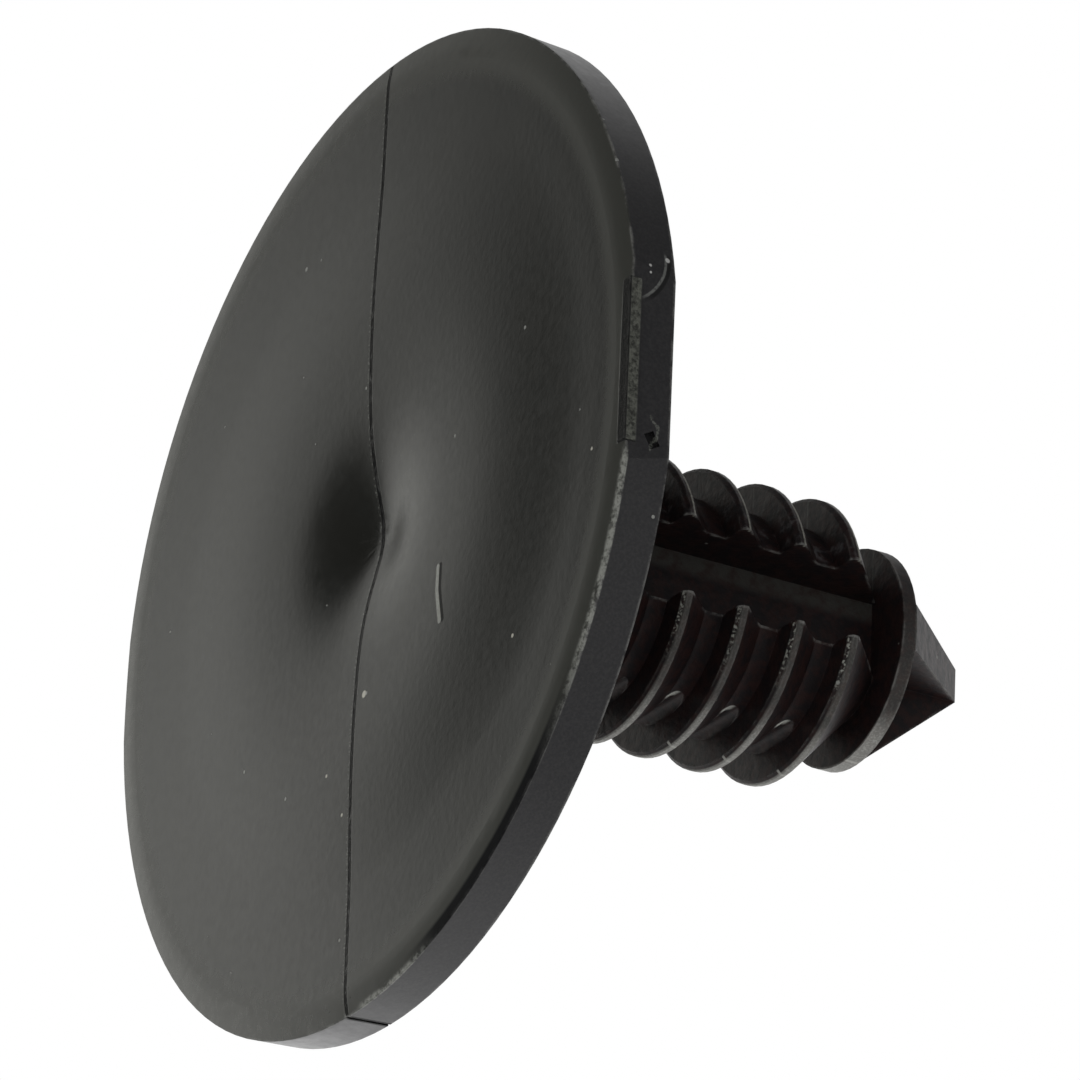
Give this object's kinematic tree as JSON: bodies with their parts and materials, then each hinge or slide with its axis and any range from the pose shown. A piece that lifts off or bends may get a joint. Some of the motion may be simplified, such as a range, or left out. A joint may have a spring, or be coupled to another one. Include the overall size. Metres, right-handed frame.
{
  "type": "plastic push rivet",
  "caption": "One-piece push rivet with a broad dished disc head and a barbed round shank with a pointed end, pushed into a hole to hold trim or matting.",
  "frame": {"origin": "on the shank's axis at the level of the lowest ring of the dished outer face, on which the rivet stands", "axes": "+Z along the shank from the head to the point; +X is the mould's pull direction towards the gate flat on the rim; the mould's parting plane is YZ"},
  "size_m": [0.0297, 0.03, 0.0202],
  "materials": {
    "black_nylon": "satin moulded black nylon, lightly scuffed"
  },
  "bodies": {
    "root": {"push_rivet": "black_nylon"}
  },
  "joints": []
}
